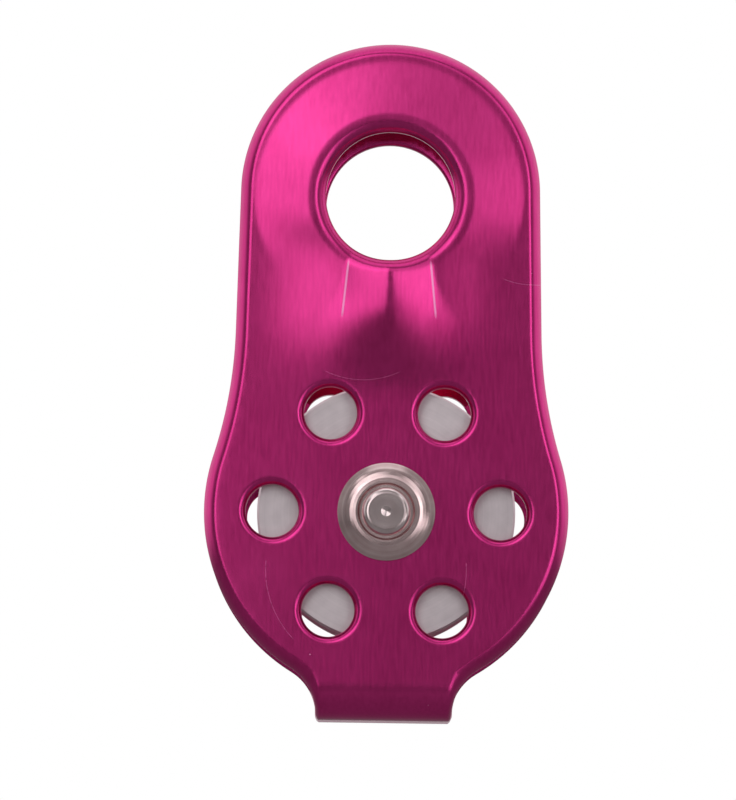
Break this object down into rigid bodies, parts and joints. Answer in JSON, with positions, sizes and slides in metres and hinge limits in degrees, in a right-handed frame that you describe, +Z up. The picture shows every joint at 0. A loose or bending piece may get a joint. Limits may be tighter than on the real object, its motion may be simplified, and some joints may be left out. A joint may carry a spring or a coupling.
{
  "type": "rope pulley",
  "caption": "Fixed-cheek rope pulley: folded aluminium side plates with an attachment eye, round a grooved sheave on a riveted axle.",
  "frame": {"origin": "centre of the attachment eye, midway between the two side plates", "axes": "+Z up, from the axle to the eye as the pulley hangs; +Y along the eye and the axle, towards the back plate; +X to the right as the front plate is seen"},
  "size_m": [0.0564, 0.027, 0.1049],
  "materials": {
    "anodised_aluminium": "satin magenta anodising",
    "sheave_aluminium": "satin, turned",
    "bush_bronze": "sintered bronze, dull",
    "axle_steel": "satin, turned and riveted",
    "washer_steel": "fine turned"
  },
  "bodies": {
    "frame": {"side_frame": "anodised_aluminium", "axle": "axle_steel", "front_washer": "washer_steel", "back_washer": "washer_steel"},
    "wheel": {"sheave": "sheave_aluminium", "sheave_bush": "bush_bronze"}
  },
  "joints": [
    {"name": "sheave_spin", "type": "hinge", "parent": "frame", "child": "wheel", "pos_m": [0, 0, -0.049], "axis": [0, 1, 0], "continuous": true}
  ]
}
